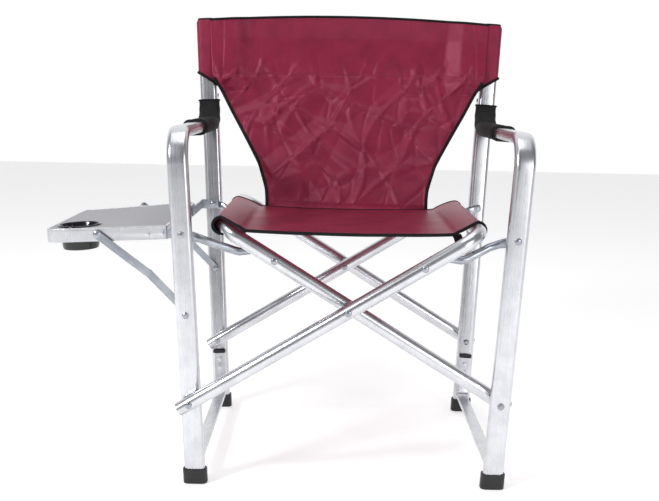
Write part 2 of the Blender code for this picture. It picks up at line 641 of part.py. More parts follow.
rod = turned([(0, REAR_UPPER[1] - 0.0002), (ROD_R, REAR_UPPER[1] - 0.0002), (ROD_R, REAR_UPPER[0] - GAP),
              (0.0045, REAR_UPPER[0] - GAP), (0.0045, REAR_UPPER[0] - 0.003),
              (ROD_R, REAR_UPPER[0] - 0.003), (ROD_R, TRAY_FRONT - GAP), (0.0045, TRAY_FRONT - GAP),
              (0.0045, UPPER[1] + GAP), (ROD_R, UPPER[1] + GAP), (ROD_R, UPPER[0] - GAP),
              (0.0060, UPPER[0] - GAP), (0.0036, UPPER[0] - 0.0018), (0, UPPER[0] - 0.0022)],
             (ROD_X, 0, ROD_Z), sides=10)
add("table_brace_rod", rod, ZINC, LEFT)

add("front_brace_pivot", rivet(0, BRACE_FOOT, -TUBE_T / 2 - GAP, LOWER[1] + GAP,
                               steps=((TUBE_T / 2 + GAP, LOWER[0] - GAP, 0.0055),)), ZINC, LEFT)
low_back = rear_leg_y(HINGE_Z + BRACE_FOOT)
add("rear_brace_pivot", rivet(0, BRACE_FOOT, REAR_LOWER[0] - GAP, low_back + REAR_FACE + 0.0006,
                              steps=((REAR_LOWER[1] + GAP, low_back - REAR_FACE - 0.0006, 0.0055),)),
    ZINC, LEFT)


# ---- cloth ----------------------------------------------------------------
RAIL_X = RAIL_D * math.cos(CROSS_SLOPE)
RAIL_Z = CROSS_Z + RAIL_D * math.sin(CROSS_SLOPE)
SEAT_FRONT, SEAT_REAR = 0.030, 0.368
SLEEVE_R = CROSS_R + 0.0024
SHEET_T = 0.0030
DIP, DIP_WIDTH, SAG = 0.0150, 0.050, 0.0045   # the sleeves slope down from the rails to the flat sheet


def seat_section():
    """Across the chair: the sheet's upper line, then its lower line, closed round the rails."""
    upper, lower = [], []
    top = RAIL_Z + SLEEVE_R
    for k in range(13):
        x = -RAIL_X + 2 * RAIL_X * k / 12
        share = min(1.0, (RAIL_X - abs(x)) / DIP_WIDTH)
        sag = DIP * share * share * (3 - 2 * share) + SAG * (1 - (x / RAIL_X) ** 2)
        upper.append((x, top - sag))
        lower.append((x, top - sag - SHEET_T))
    return upper, lower


def seat():
    upper, lower = seat_section()
    outline = []
    for k in range(1, 9):
        angle = math.pi / 2 + math.pi * k / 9
        outline.append((-RAIL_X + SLEEVE_R * math.cos(angle), RAIL_Z + SLEEVE_R * math.sin(angle)))
    outline.append((-RAIL_X, RAIL_Z - SLEEVE_R))
    outline.append((-RAIL_X + 0.012, RAIL_Z - SLEEVE_R + 0.004))
    outline.append((-RAIL_X + SLEEVE_R + 0.004, lower[1][1] - 0.006))
    outline += lower[1:-1]
    outline.append((RAIL_X - SLEEVE_R - 0.004, lower[1][1] - 0.006))
    outline.append((RAIL_X - 0.012, RAIL_Z - SLEEVE_R + 0.004))
    outline.append((RAIL_X, RAIL_Z - SLEEVE_R))
    for k in range(1, 9):
        angle = -math.pi / 2 + math.pi * k / 9
        outline.append((RAIL_X + SLEEVE_R * math.cos(angle), RAIL_Z + SLEEVE_R * math.sin(angle)))
    outline += list(reversed(upper))
    bm = bmesh.new()
    rings = [[bm.verts.new((x, y, z)) for x, z in outline] for y in (SEAT_FRONT, SEAT_REAR)]
    count = len(outline)
    for k in range(count):
        n = (k + 1) % count
        bm.faces.new((rings[0][k], rings[0][n], rings[1][n], rings[1][k]))
    bm.faces.new(list(reversed(rings[0])))
    bm.faces.new(rings[1])
    bmesh.ops.recalc_face_normals(bm, faces=bm.faces)
    cloth = add("seat_fabric", mesh_from(bm, "seat"), CLOTH)
    for side, front, rear in ((-1, A_FRONT, A_REAR), (1, B_FRONT, B_REAR)):
        boolean(cloth, cross_mesh(side, front, rear, CROSS_R + 2 * GAP), "DIFFERENCE", None,
                f"rail_{'left' if side > 0 else 'right'}")


def post_sleeve(side):
    """The cloth tube at each side of the back, pulled over the post."""
    tag = "left" if side < 0 else "right"
    where = LEFT if side < 0 else RIGHT
    low = 0.268
    ends = [(0, POST_Y + (z - ARM_H) * math.tan(RECLINE), z) for z in (low, POST_TOP + 0.0115)]
    cloth = add(f"{tag}_back_sleeve",
                sweep(ends, slot_profile(TUBE_W + 0.009, TUBE_T + 0.008, 0.010), (1, 0, 0)), CLOTH, where)
    y_at = [(0, POST_Y + (z - ARM_H) * math.tan(RECLINE), z) for z in (low - 0.02, POST_TOP + 0.0080)]
    boolean(cloth, sweep(y_at, slot_profile(TUBE_W + 0.0045, TUBE_T + 0.0045, 0.008), (1, 0, 0)),
            "DIFFERENCE", where, "post")


CROWN = 0.0120       # the top edge rises this much in the middle


def back_panel():
    """The sheet between the posts, narrowing below the arms to meet the rear of the seat."""
    rows = [(0.830, 0.2824), (0.775, 0.2795), (0.716, 0.2764), (0.685, 0.2500), (0.640, 0.2250),
            (0.585, 0.2000), (0.530, 0.1770), (0.490, 0.1650), (0.462, 0.1620)]
    bm = bmesh.new()
    front, rear = [], []
    for z, half_width in rows:
        down = max(0.0, (0.80 - z) / 0.34)
        y = 0.482 + (z - 0.62) * math.tan(RECLINE) - 0.098 * down ** 1.6
        for column, offset in ((front, 0.0), (rear, 0.0030)):
            line = []
            for k in range(9):
                t = -1 + 2 * k / 8
                bow = 0.012 * (1 - t * t)
                crown = CROWN * (1 - t * t) if z == rows[0][0] else 0.0
                line.append(bm.verts.new((half_width * t, y + bow + offset, z + crown)))
            column.append(line)
    for i in range(len(rows) - 1):
        for k in range(8):
            bm.faces.new((front[i][k], front[i][k + 1], front[i + 1][k + 1], front[i + 1][k]))
            bm.faces.new((rear[i][k], rear[i + 1][k], rear[i + 1][k + 1], rear[i][k + 1]))
    for i in range(len(rows) - 1):
        bm.faces.new((front[i][0], front[i + 1][0], rear[i + 1][0], rear[i][0]))
        bm.faces.new((front[i][8], rear[i][8], rear[i + 1][8], front[i + 1][8]))
    for i in (0, len(rows) - 1):
        for k in range(8):
            bm.faces.new((front[i][k], rear[i][k], rear[i][k + 1], front[i][k + 1]))
    bmesh.ops.recalc_face_normals(bm, faces=bm.faces)
    add("back_panel", mesh_from(bm, "back"), CLOTH)


def strap(side):
    """A webbing strap sewn under the seat's front corner, looped round the link."""
    tag = "left" if side < 0 else "right"
    x = side * 0.1830
    y = 0.0560 if side < 0 else 0.0190
    mesh = block((x - 0.0060, y, 0.4200), (x + 0.0060, y + 0.0014, 0.4450), 0)
    add(f"{tag}_seat_strap", mesh, WEBBING)


seat()
back_panel()
for side in (-1, 1):
    post_sleeve(side)
    strap(side)

for thing in chair.objects:
    smooth(thing)


# ---- the origin: on the floor, at the middle of the whole chair -----------
def whole_box():
    bpy.context.view_layer.update()
    graph = bpy.context.evaluated_depsgraph_get()
    points = []
    for thing in chair.objects:
        ready = thing.evaluated_get(graph)
        points += [ready.matrix_world @ vert.co for vert in ready.data.vertices]
    low = Vector(min(p[i] for p in points) for i in range(3))
    high = Vector(max(p[i] for p in points) for i in range(3))
    return low, high


low, high = whole_box()
shift = Matrix.Translation((-(low.x + high.x) / 2, -(low.y + high.y) / 2, -low.z))
for thing in [*chair.objects, *cutters.objects]:
    thing.matrix_world = shift @ thing.matrix_world
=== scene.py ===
import json
import math

import bmesh
import bpy
import numpy as np
from mathutils import Matrix, Vector


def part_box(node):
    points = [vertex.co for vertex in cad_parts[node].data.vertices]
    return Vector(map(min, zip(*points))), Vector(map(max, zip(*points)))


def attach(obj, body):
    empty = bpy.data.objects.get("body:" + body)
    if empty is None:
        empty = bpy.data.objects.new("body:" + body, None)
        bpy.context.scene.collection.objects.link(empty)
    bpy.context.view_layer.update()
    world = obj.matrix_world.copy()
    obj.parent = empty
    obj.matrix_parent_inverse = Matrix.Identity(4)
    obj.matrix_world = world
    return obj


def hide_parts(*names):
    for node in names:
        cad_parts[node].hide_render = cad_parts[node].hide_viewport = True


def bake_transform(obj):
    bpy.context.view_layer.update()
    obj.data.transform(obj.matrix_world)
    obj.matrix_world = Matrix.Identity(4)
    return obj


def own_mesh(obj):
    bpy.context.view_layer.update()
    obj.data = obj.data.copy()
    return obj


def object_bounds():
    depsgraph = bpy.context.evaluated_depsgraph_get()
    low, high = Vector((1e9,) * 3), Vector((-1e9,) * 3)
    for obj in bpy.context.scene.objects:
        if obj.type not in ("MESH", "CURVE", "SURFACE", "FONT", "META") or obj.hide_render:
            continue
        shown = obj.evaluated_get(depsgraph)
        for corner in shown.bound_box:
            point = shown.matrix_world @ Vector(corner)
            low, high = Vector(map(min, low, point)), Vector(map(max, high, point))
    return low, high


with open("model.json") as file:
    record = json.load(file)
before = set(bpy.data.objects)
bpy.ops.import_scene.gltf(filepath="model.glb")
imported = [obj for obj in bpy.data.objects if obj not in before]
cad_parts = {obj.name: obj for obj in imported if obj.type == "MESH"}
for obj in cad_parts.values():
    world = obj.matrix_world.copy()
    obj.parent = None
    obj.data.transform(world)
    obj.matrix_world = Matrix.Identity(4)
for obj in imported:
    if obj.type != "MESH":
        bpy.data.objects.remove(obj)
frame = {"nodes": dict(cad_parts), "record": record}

cad_box = [list(corner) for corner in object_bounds()]

# ---- Studio ---------------------------------------------------------------
# A catalogue picture's stage: white paper that glows faintly, a surround bright behind the chair and dim
# on the camera's side, and three soft boxes. The camera stands about 1.7 m in front of the chair, a little
# above arm height, and looks slightly down.
joints = {j["name"]: j for j in frame["record"]["behaviour"]["joints"]}
crossing = joints["scissor_crossing"]["pos_m"]
MIDDLE_X = crossing[0]
TUBE_W, TUBE_T = 0.036, 0.020
FRONT_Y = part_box("left_side_tube")[0].y + TUBE_T / 2

CAMERA_BACK, CAMERA_RIGHT, CAMERA_HIGH = 1.6696, -0.0367, 0.6875
PITCH, YAW, ROLL = math.radians(9.17), math.radians(-0.11), math.radians(1.18)
LENS, SENSOR = 54.29, 36

data = bpy.data.cameras.new("studio_camera")
data.lens, data.sensor_width = LENS, SENSOR
camera = bpy.data.objects.new("studio_camera", data)
bpy.context.scene.collection.objects.link(camera)
level = Vector((-math.sin(YAW), math.cos(YAW), 0))
right = Vector((math.cos(YAW), math.sin(YAW), 0))
ahead = level * math.cos(PITCH) - Vector((0, 0, 1)) * math.sin(PITCH)
up = level * math.sin(PITCH) + Vector((0, 0, 1)) * math.cos(PITCH)
axis_x = right * math.cos(ROLL) + up * math.sin(ROLL)
axis_y = up * math.cos(ROLL) - right * math.sin(ROLL)
turn = Matrix((axis_x, axis_y, -ahead)).transposed().to_4x4()
camera.matrix_world = Matrix.Translation(
    (MIDDLE_X + CAMERA_RIGHT, FRONT_Y - CAMERA_BACK, CAMERA_HIGH)) @ turn
bpy.context.scene.camera = camera

DIM, BRIGHT = (0.20, 0.20, 0.21, 1), (1, 1, 1, 1)
FADE_START, FADE_END = 0.10, 0.62
world = bpy.data.worlds.new("studio_world")
world.use_nodes = True
sky = world.node_tree.nodes["Background"]
sky.inputs["Strength"].default_value = 1.0
facing = world.node_tree.nodes.new("ShaderNodeTexCoord")
parts = world.node_tree.nodes.new("ShaderNodeSeparateXYZ")
fade = world.node_tree.nodes.new("ShaderNodeValToRGB")
fade.color_ramp.elements[0].position, fade.color_ramp.elements[1].position = FADE_START, FADE_END
fade.color_ramp.elements[0].color, fade.color_ramp.elements[1].color = DIM, BRIGHT
world.node_tree.links.new(facing.outputs["Generated"], parts.inputs["Vector"])
world.node_tree.links.new(parts.outputs["Y"], fade.inputs["Fac"])
world.node_tree.links.new(fade.outputs["Color"], sky.inputs["Color"])
bpy.context.scene.world = world
bpy.context.scene.view_settings.view_transform = "Standard"


def soft_box(name, place, aim, size, power):
    """A square area light at place, turned to face aim."""
    lamp = bpy.data.lights.new(name, "AREA")
    lamp.shape, lamp.size, lamp.energy = "SQUARE", size, power
    thing = bpy.data.objects.new(name, lamp)
    thing.location = place
    thing.rotation_euler = (Vector(aim) - Vector(place)).to_track_quat("-Z", "Y").to_euler()
    bpy.context.scene.collection.objects.link(thing)


soft_box("key_box", place=(-1.9, -1.7, 1.9), aim=(0, 0.2, 0.6), size=0.5, power=40)
soft_box("fill_box", place=(1.5, -2.1, 0.9), aim=(0, 0, 0.4), size=1.0, power=14)
soft_box("floor_box", place=(0.0, -0.3, 3.2), aim=(0, 0, 0), size=2.0, power=26)

FLOOR_SIZE, FLOOR_GAP = 14.0, 0.0005
PAPER_WHITE, PAPER_ROUGH, PAPER_GLOW = (0.93, 0.93, 0.93, 1), 0.9, 0.42
bm = bmesh.new()
bmesh.ops.create_grid(bm, x_segments=1, y_segments=1, size=FLOOR_SIZE / 2)
floor_mesh = bpy.data.meshes.new("studio_floor")
bm.to_mesh(floor_mesh)
bm.free()
floor = bpy.data.objects.new("studio_floor", floor_mesh)
floor.location.z = cad_box[0][2] - FLOOR_GAP
bpy.context.scene.collection.objects.link(floor)
paper = bpy.data.materials.new("white_paper")
paper.use_nodes = True
shader = paper.node_tree.nodes["Principled BSDF"]
shader.inputs["Base Color"].default_value = PAPER_WHITE
shader.inputs["Roughness"].default_value = PAPER_ROUGH
shader.inputs["Emission Color"].default_value = BRIGHT
shader.inputs["Emission Strength"].default_value = PAPER_GLOW
floor_mesh.materials.append(paper)


# ---- Side frame tubes -----------------------------------------------------
# Each side is one flat-oval extruded aluminium tube bent into front leg, armrest and back post, with a
# straight rear leg of the same tube behind the post. The finish is satin, with faint lines along it.
LEAN = math.radians(3.07)
HINGE = {-1: joints["left_link_swing"]["pos_m"], 1: joints["right_link_swing"]["pos_m"]}
ARM_H, POST_TOP = 0.1715, 0.380
BEND_R, POST_Y = 0.052, 0.4820
REAR_BEND_R = BEND_R * 0.8
RECLINE = math.radians(5.0)
REAR_FOOT_Y, REAR_SLOPE, REAR_TOP = 0.4314, 0.1139, 0.668
CAP_FLOOR = 0.004        # the tubes stop this far above the floor, inside their foot caps
FOOT_IN = -HINGE[-1][2] / math.cos(LEAN) + CAP_FLOOR


def on_side(side, points):
    """Side-frame points, x inward, y back and z up from the link pivot, leant into the chair's frame."""
    points = np.asarray(points, float)
    x, y, z = points[..., 0], points[..., 1], points[..., 2]
    out_x = x * math.cos(LEAN) - z * math.sin(LEAN)
    out_z = x * math.sin(LEAN) + z * math.cos(LEAN)
    hinge = HINGE[side]
    return np.stack([hinge[0] - side * out_x, FRONT_Y + y, hinge[2] + out_z], -1)


def bend_path(corners, radii, steps=20, straight=6):
    """Straight runs joined by arcs: each arc is centre + a sin((1-t)w)/sin w + b sin(tw)/sin w."""
    corners = np.asarray(corners, float)
    runs, last = [], corners[0]
    for i, radius in enumerate(radii, 1):
        here = corners[i]
        a = (corners[i - 1] - here) / np.linalg.norm(corners[i - 1] - here)
        b = (corners[i + 1] - here) / np.linalg.norm(corners[i + 1] - here)
        half = math.acos(np.clip(a @ b, -1, 1)) / 2
        reach = radius / math.tan(half)
        centre = here + (a + b) / np.linalg.norm(a + b) * radius / math.sin(half)
        start, end = here + a * reach - centre, here + b * reach - centre
        angle = math.pi - 2 * half
        t = np.linspace(0, 1, steps + 1)[:, None]
        arc = centre + (start * np.sin((1 - t) * angle) + end * np.sin(t * angle)) / math.sin(angle)
        run = np.linspace(0, 1, straight, endpoint=False)[:, None]
        runs += [last + (arc[0] - last) * run, arc[:-1]]
        last = arc[-1]
    run = np.linspace(0, 1, straight)[:, None]
    runs.append(last + (corners[-1] - last) * run)
    return np.concatenate(runs)


def oval(width, depth, corner, steps=8):
    """A rounded rectangle: quarter circles of the corner radius about four centres."""
    angle = np.linspace(0, math.pi / 2, steps + 1)
    parts = []
    for i, (sx, sy) in enumerate(((1, 1), (-1, 1), (-1, -1), (1, -1))):
        turned = angle + i * math.pi / 2
        parts.append(np.stack([sx * (width / 2 - corner) + corner * np.cos(turned),
                               sy * (depth / 2 - corner) + corner * np.sin(turned)], -1))
    return np.concatenate(parts)


def carry(outline, path, across):
    """Grid of points: path + across * u + (tangent x across) * v for each outline point (u, v)."""
    path = np.asarray(path, float)
    across = np.asarray(across, float) / np.linalg.norm(across)
    tangent = np.gradient(path, axis=0)
    tangent /= np.linalg.norm(tangent, axis=1, keepdims=True)
    rise = np.cross(tangent, across)
    outline = np.asarray(outline, float)
    if outline.ndim == 2:
        outline = np.broadcast_to(outline, (len(path), *outline.shape))
    return path[:, None] + across * outline[..., :1] + rise[:, None] * outline[..., 1:2]


def lengths(points, axis):
    """Running length along one axis of a grid, in metres, averaged over the other."""
    step = np.linalg.norm(np.diff(points, axis=axis), axis=-1)
    total = np.cumsum(step.mean(axis=1 - axis))
    return np.concatenate([[0.0], total])


def surface(name, grid, around=False, capped=False, angle=40):
    """Mesh from a grid of points, with a UV map in metres: u along the second axis, v along the first."""
    rows, cols = grid.shape[:2]
    wide = cols if around else cols - 1
    r, c = np.meshgrid(np.arange(rows - 1), np.arange(wide), indexing="ij")
    n = (c + 1) % cols
    quads = np.stack([r * cols + c, r * cols + n, (r + 1) * cols + n, (r + 1) * cols + c], -1)
    faces = [tuple(q) for q in quads.reshape(-1, 4).tolist()]
    if capped:
        faces += [tuple(range(cols))[::-1], tuple(range((rows - 1) * cols, rows * cols))]
    mesh = bpy.data.meshes.new(name)
    mesh.from_pydata(grid.reshape(-1, 3).tolist(), [], faces)
    v_at = lengths(grid, 0)
    closed = np.concatenate([grid, grid[:, :1]], 1) if around else grid
    u_at = lengths(closed, 1)
    uv = mesh.uv_layers.new(name="cloth_uv")
    flat = np.zeros((len(mesh.loops), 2), np.float32)
    count = (rows - 1) * wide * 4
    flat[:count] = np.stack([np.stack([u_at[c], v_at[r]], -1), np.stack([u_at[c + 1], v_at[r]], -1),
                             np.stack([u_at[c + 1], v_at[r + 1]], -1),
                             np.stack([u_at[c], v_at[r + 1]], -1)], 2).reshape(-1, 2)
    uv.data.foreach_set("uv", flat.ravel())
    bm = bmesh.new()
    bm.from_mesh(mesh)
    if capped or around:
        bmesh.ops.recalc_face_normals(bm, faces=bm.faces)
    bm.to_mesh(mesh)
    bm.free()
    mesh.shade_smooth()
    mesh.set_sharp_from_angle(angle=math.radians(angle))
    piece = bpy.data.objects.new(name, mesh)
    bpy.context.scene.collection.objects.link(piece)
    return piece


def principled(name, colour, roughness, metallic=0.0, **more):
    """A new finish of uniform values, returned with its nodes, its links and its shader."""
    made = bpy.data.materials.new(name)
    made.use_nodes = True
    shader = made.node_tree.nodes["Principled BSDF"]
    shader.inputs["Base Color"].default_value = (*colour, 1)
    shader.inputs["Roughness"].default_value = roughness
    shader.inputs["Metallic"].default_value = metallic
    for key, value in more.items():
        shader.inputs[key.replace("_", " ")].default_value = value
    return made, made.node_tree.nodes, made.node_tree.links, shader


def node(nodes, kind, **values):
    """A new node whose named inputs or settings take the given values."""
    made = nodes.new(kind)
    for key, value in values.items():
        if key in made.inputs:
            made.inputs[key].default_value = value
        else:
            setattr(made, key, value)
    return made


def grain(nodes, links, coordinate, stretch, scale, detail=3.0):
    """Noise on a chosen coordinate, multiplied first by the stretch along each axis."""
    where = node(nodes, "ShaderNodeTexCoord")
    place = node(nodes, "ShaderNodeMapping")
    place.inputs["Scale"].default_value = stretch
    noise = node(nodes, "ShaderNodeTexNoise", Scale=scale, Detail=detail)
    links.new(where.outputs[coordinate], place.inputs["Vector"])
    links.new(place.outputs["Vector"], noise.inputs["Vector"])
    return noise


def ramp(nodes, links, source, low, high, start=0.3, end=0.7):
    """Colour ramp that runs from low to high as the source runs from start to end."""
    made = node(nodes, "ShaderNodeValToRGB")
    made.color_ramp.elements[0].position, made.color_ramp.elements[1].position = start, end
    made.color_ramp.elements[0].color = (*low, 1)
    made.color_ramp.elements[1].color = (*high, 1)
    links.new(source, made.inputs["Fac"])
    return made


def bumped(nodes, links, shader, height, strength, distance):
    """Relief on a shader, as deep as the distance where the height is 1."""
    made = node(nodes, "ShaderNodeBump", Strength=strength, Distance=distance)
    links.new(height, made.inputs["Height"])
    links.new(made.outputs["Normal"], shader.inputs["Normal"])


def metal(name, colour, dark, rough_low, rough_high, coordinate="UV", stretch=(420, 6, 1)):
    """Satin metal: fine lines in the roughness and the relief, and a faint mottle in the colour."""
    made, nodes, links, shader = principled(name, colour, rough_low, 1.0)
    lines = grain(nodes, links, coordinate, stretch, 1.0, 4.0)
    mottle = grain(nodes, links, "Object", (1, 1, 1), 38.0, 3.0)
    tint = ramp(nodes, links, mottle.outputs["Fac"], dark, colour, 0.32, 0.62)
    links.new(tint.outputs["Color"], shader.inputs["Base Color"])
    rough = ramp(nodes, links, lines.outputs["Fac"], (rough_low,) * 3, (rough_high,) * 3, 0.35, 0.65)
    links.new(rough.outputs["Color"], shader.inputs["Roughness"])
    bumped(nodes, links, shader, lines.outputs["Fac"], 0.12, 0.0002)
    return made


SATIN = metal("satin_aluminium", (0.70, 0.71, 0.74), (0.62, 0.63, 0.66), 0.24, 0.34)


def placed(piece, body, finish, slot, *nodes):
    """Gives a piece its finish and its body, and hides the nodes that it stands for, if any; the slot is
    not used.
    """
    piece.data.materials.clear()
    piece.data.materials.append(finish)
    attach(piece, body)
    if nodes:
        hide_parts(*nodes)
    return piece


SIDES = ((-1, "left"), (1, "right"))
TUBE_CORNER = 0.0085
TUBE = oval(TUBE_W, TUBE_T, TUBE_CORNER)
post_end = (0, POST_Y + (POST_TOP - ARM_H) * math.tan(RECLINE), POST_TOP)
for side, tag in SIDES:
    path = bend_path([(0, 0, FOOT_IN), (0, 0, ARM_H), (0, POST_Y, ARM_H), post_end],
                     (BEND_R, REAR_BEND_R), steps=24, straight=10)
    grid = on_side(side, carry(TUBE, path, (1, 0, 0)))
    placed(surface(f"{tag}_bent_tube", grid, True, True), f"{tag}_frame", SATIN, "aluminium_tube",
           f"{tag}_side_tube")
    rise = np.linspace(FOOT_IN, REAR_TOP - HINGE[side][2], 14)
    path = np.stack([rise * 0, REAR_FOOT_Y + REAR_SLOPE * (rise + HINGE[side][2]), rise], -1)
    grid = on_side(side, carry(TUBE, path, (1, 0, 0)))
    placed(surface(f"{tag}_straight_leg", grid, True, True), f"{tag}_frame", SATIN, "aluminium_tube",
           f"{tag}_rear_leg")


# ---- Cross tubes ----------------------------------------------------------
# Two round aluminium tubes, each bent into a U: a scissor leg in front, a seat rail along the side and a
# scissor leg behind. The foot ends are cut square, closed flat and drawn in a little.
CROSS_R, RAIL_R, DRAWN_IN = 0.0127, 0.040, 0.0008
FOOT_X, FOOT_Z = crossing[0] - joints["chair_fold"]["pos_m"][0], joints["chair_fold"]["pos_m"][2]
CROSS_Z = crossing[2]
SLOPE = math.atan2(CROSS_Z - FOOT_Z, FOOT_X)
RAIL_D, PAST = 0.2605, 0.022
RAIL_X, RAIL_Z = RAIL_D * math.cos(SLOPE), CROSS_Z + RAIL_D * math.sin(SLOPE)
# how far each tube's front and rear legs stand behind the middle of the side frames' front legs
PLANES = {-1: (-0.0235, 0.4205), 1: (0.0235, 0.4800)}


def tube_frames(path):
    """Two unit directions square to a path, carried along it so that they never twist."""
    tangent = np.gradient(path, axis=0)
    tangent /= np.linalg.norm(tangent, axis=1, keepdims=True)
    side = np.cross(tangent[0], (0.0, 0.0, 1.0))
    sides = []
    for t in tangent:
        side = side - t * (side @ t)
        side = side / np.linalg.norm(side)
        sides.append(side)
    sides = np.array(sides)
    return sides, np.cross(tangent, sides)


def round_tube(name, path, radius, sides=32, capped=True):
    """Circle of the radius (one value or one for each point) carried along a path without twist."""
    path = np.asarray(path, float)
    a, b = tube_frames(path)
    angle = np.linspace(0, 2 * math.pi, sides, endpoint=False)
    radius = np.broadcast_to(radius, (len(path),))[:, None, None]
    ring = a[:, None] * np.cos(angle)[:, None] + b[:, None] * np.sin(angle)[:, None]
    return surface(name, path[:, None] + ring * radius, True, capped)


for side, tag in SIDES:
    front, rear = PLANES[side]
    c, s = math.cos(SLOPE), math.sin(SLOPE)
    foot = (MIDDLE_X + side * (FOOT_X + PAST * c), FOOT_Z - PAST * s)
    rail = (MIDDLE_X - side * RAIL_X, RAIL_Z)
    corners = [(foot[0], FRONT_Y + front, foot[1]), (rail[0], FRONT_Y + front, rail[1]),
               (rail[0], FRONT_Y + rear, rail[1]), (foot[0], FRONT_Y + rear, foot[1])]
    path = bend_path(corners, (RAIL_R, RAIL_R), steps=20, straight=16)
    radius = np.full(len(path), CROSS_R)
    radius[0] = radius[-1] = CROSS_R - DRAWN_IN
    piece = round_tube(f"{tag}_foot_scissor_tube", path, radius)
    placed(piece, f"{tag}_foot_cross", SATIN, "aluminium_tube", f"cross_tube_{tag}_foot")


# ---- Rivets ---------------------------------------------------------------
# Zinc-plated steel rivets with domed heads hold the link, foot and crossing pivots; at the crossings a
# shoulder fills the gap between the tubes. Each keeps the place and size of the plain rivet it stands for.
ZINC = metal("zinc_plate", (0.42, 0.44, 0.48), (0.32, 0.34, 0.38), 0.26, 0.40, "Object", (60, 60, 60))
ON_AXIS = 0.00005        # radius where a turned profile meets its axis
SHANK_R, HEAD_R, HEAD_TALL = 0.0029, 0.0062, 0.0023
SPACER_R, SPACER_PLAY = 0.0095, 0.0003
LINK_HEAD_R, LINK_HEAD_TALL, LINK_SHANK = 0.0060, 0.0022, 0.018


def turned_surface(name, profile, centre, axis, sides=32):
    """A profile of (radius, height) spun about an axis: x = r cos a, y = r sin a."""
    profile = np.asarray(profile, float)
    angle = np.linspace(0, 2 * math.pi, sides, endpoint=False)
    r, h = profile[:, :1], np.repeat(profile[:, 1:], sides, 1)
    x, y = r * np.cos(angle), r * np.sin(angle)
    grid = np.stack([x, h, y] if axis == "Y" else [x, y, h], -1)
    return surface(name, grid + np.asarray(centre, float), True, True)


def domed(r, base, tall, sign, count=6):
    """Quarter of an ellipse from the rim (r, base) to the crown (0, base + tall)."""
    t = np.linspace(0, math.pi / 2, count)
    return np.stack([np.maximum(r * np.cos(t), ON_AXIS), base + sign * tall * np.sin(t)], -1)


def rivet(node_name, body, shoulder=None):
    """Two domed heads on a shank, as long as the node's box in y; a shoulder is (front, rear, radius)."""
    low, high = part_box(node_name)
    middle = (low + high) / 2
    y0, y1 = low.y + HEAD_TALL, high.y - HEAD_TALL
    rows = [domed(HEAD_R, y0, HEAD_TALL, -1)[::-1], [(HEAD_R, y0), (SHANK_R, y0)]]
    if shoulder:
        front, rear, wide = shoulder
        rows.append([(SHANK_R, front), (wide, front), (wide, rear), (SHANK_R, rear)])
    rows += [[(SHANK_R, y1), (HEAD_R, y1)], domed(HEAD_R, y1, HEAD_TALL, 1)]
    profile = np.concatenate([np.asarray(row, float) for row in rows])
    piece = turned_surface(f"{node_name}_domed", profile, (middle.x, 0, middle.z), "Y")
    placed(piece, body, ZINC, "zinc_steel", node_name)


def between(first, second):
    """The gap in y from the back of one cross tube to the front of the next, at front or rear."""
    return FRONT_Y + first + CROSS_R + SPACER_PLAY, FRONT_Y + second - CROSS_R - SPACER_PLAY


for place, low_y, high_y in zip(("front", "rear"), PLANES[-1], PLANES[1]):
    rivet(f"crossing_rivet_{place}", "left_foot_cross", (*between(low_y, high_y), SPACER_R))
for side, tag in SIDES:
    for place in ("front", "rear"):
        rivet(f"{tag}_{place}_link_pivot", f"{tag}_frame")
        if (tag, place) != ("right", "rear"):
            rivet(f"{tag}_{place}_foot_pivot", f"{tag}_frame")
        low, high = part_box(f"{tag}_{place}_link_rivet")
        middle = (low + high) / 2
        sign = -1 if place == "front" else 1
        face = low.y if sign < 0 else high.y
        base, deep = face - sign * LINK_HEAD_TALL, face - sign * LINK_SHANK
        profile = np.concatenate([domed(LINK_HEAD_R, base, LINK_HEAD_TALL, sign)[::-1],
                                  [(SHANK_R, base), (SHANK_R, deep), (ON_AXIS, deep)]])
        other = "right" if tag == "left" else "left"
        placed(turned_surface(f"{tag}_{place}_link_rivet_domed", profile, (middle.x, 0, middle.z), "Y"),
               f"{other}_foot_cross", ZINC, "zinc_steel", f"{tag}_{place}_link_rivet")


# ---- Pressed and moulded small parts --------------------------------------
# Flattened links, brace links, hinge brackets, foot rails and plastic caps keep their built shapes, most
# of them with softened edges. They are zinc-plated steel, satin aluminium or moulded black plastic.
def moulded(name, colour, roughness, scale, distance):
    """Moulded plastic: a fine pebble in the surface and slightly uneven gloss."""
    made, nodes, links, shader = principled(name, colour, roughness)
    pebble = grain(nodes, links, "Object", (1, 1, 1), scale, 2.0)
    gloss = ramp(nodes, links, pebble.outputs["Fac"], (roughness - 0.08,) * 3, (roughness + 0.1,) * 3)
    links.new(gloss.outputs["Color"], shader.inputs["Roughness"])
    bumped(nodes, links, shader, pebble.outputs["Fac"], 0.25, distance)
    return made


BLACK_CAP = moulded("moulded_black", (0.012, 0.012, 0.013), 0.42, 900.0, 0.0003)
SATIN_PLAIN = metal("satin_aluminium_flat", (0.72, 0.73, 0.76), (0.65, 0.66, 0.69), 0.26, 0.36,
                    "Object", (260, 260, 8))


DOUBLES, NEARLY_FLAT = 0.00002, math.radians(0.5)


